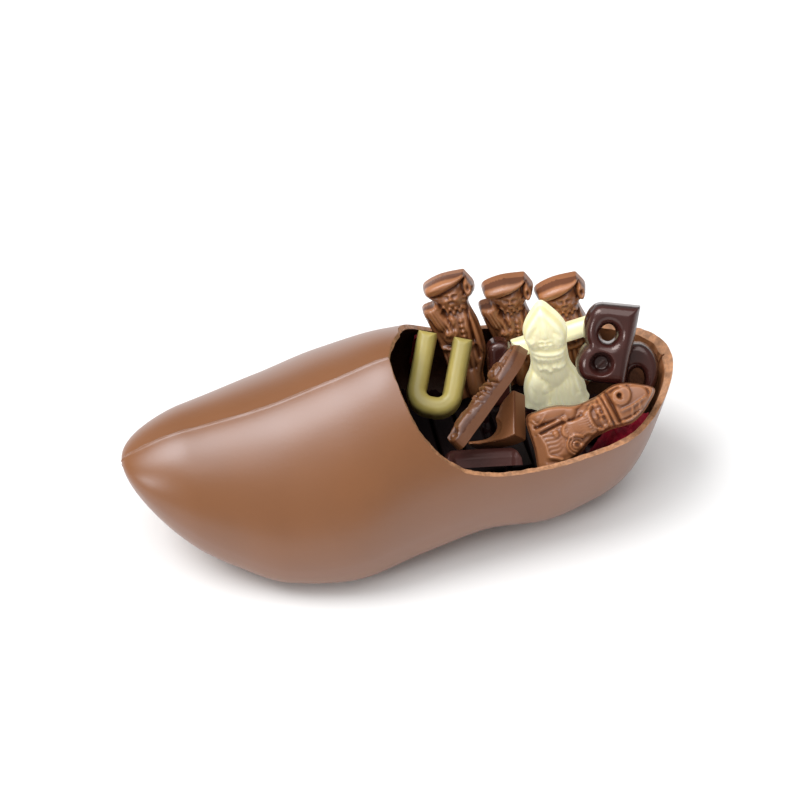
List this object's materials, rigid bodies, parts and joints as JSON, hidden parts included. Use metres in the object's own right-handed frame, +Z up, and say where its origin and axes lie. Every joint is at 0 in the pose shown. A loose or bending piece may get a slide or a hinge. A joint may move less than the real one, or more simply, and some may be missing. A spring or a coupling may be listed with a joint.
{
  "type": "filled chocolate clog",
  "caption": "Hollow moulded chocolate clog holding small moulded chocolate letters and saint and page figures on a bed of crumpled red tissue.",
  "frame": {"origin": "centre of the footprint's bounding box, on the surface the clog stands on", "axes": "+X from the toe tip towards the heel, +Z up out of the mouth, Y across the clog with the mould seam at Y = 0"},
  "size_m": [0.2006, 0.092, 0.0749],
  "materials": {
    "clog_chocolate": "satin",
    "milk_chocolate": "satin",
    "dark_chocolate": "gloss",
    "white_chocolate": "satin",
    "red_tissue": "matte"
  },
  "bodies": {
    "root": {"clog_near_half": "clog_chocolate", "clog_far_half": "clog_chocolate", "tissue_bed": "red_tissue", "bishop_milk": "milk_chocolate", "figure_edge": "milk_chocolate", "letter_p": "milk_chocolate", "page_1": "milk_chocolate", "page_2": "milk_chocolate", "page_3": "milk_chocolate", "bishop_white": "white_chocolate", "letter_i": "white_chocolate", "letter_u": "white_chocolate", "letter_b": "dark_chocolate", "letter_j": "dark_chocolate", "letter_l": "dark_chocolate", "letter_o": "dark_chocolate", "under_1": "dark_chocolate", "under_2": "dark_chocolate", "under_3": "dark_chocolate", "under_4": "dark_chocolate", "under_5": "dark_chocolate", "under_6": "dark_chocolate", "under_7": "dark_chocolate", "under_8": "dark_chocolate"}
  },
  "joints": []
}
